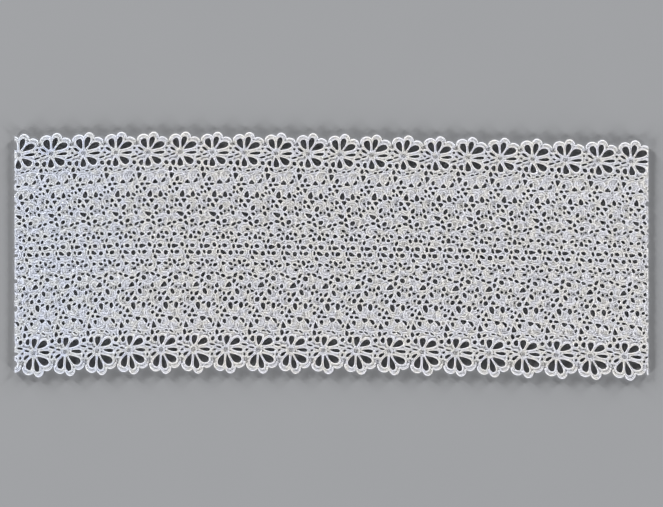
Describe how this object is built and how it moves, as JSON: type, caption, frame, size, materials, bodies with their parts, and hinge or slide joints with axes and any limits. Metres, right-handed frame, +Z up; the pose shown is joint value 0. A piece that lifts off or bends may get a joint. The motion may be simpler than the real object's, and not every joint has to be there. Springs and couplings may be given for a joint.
{
  "type": "elastic lace trim",
  "caption": "Cut length of wide elastic lace trim laid flat, with scalloped flower borders on both long edges and a field of scrolled leaves and eyelets between them.",
  "frame": {"origin": "middle of the strip's box, on its underside", "axes": "+X along the strip, +Y across it towards its upper edge, +Z up out of its face"},
  "size_m": [0.4448, 0.1754, 0.0012],
  "materials": {
    "lace_yarn": "soft matt off-white yarn"
  },
  "bodies": {
    "root": {"lace_trim": "lace_yarn"}
  },
  "joints": []
}
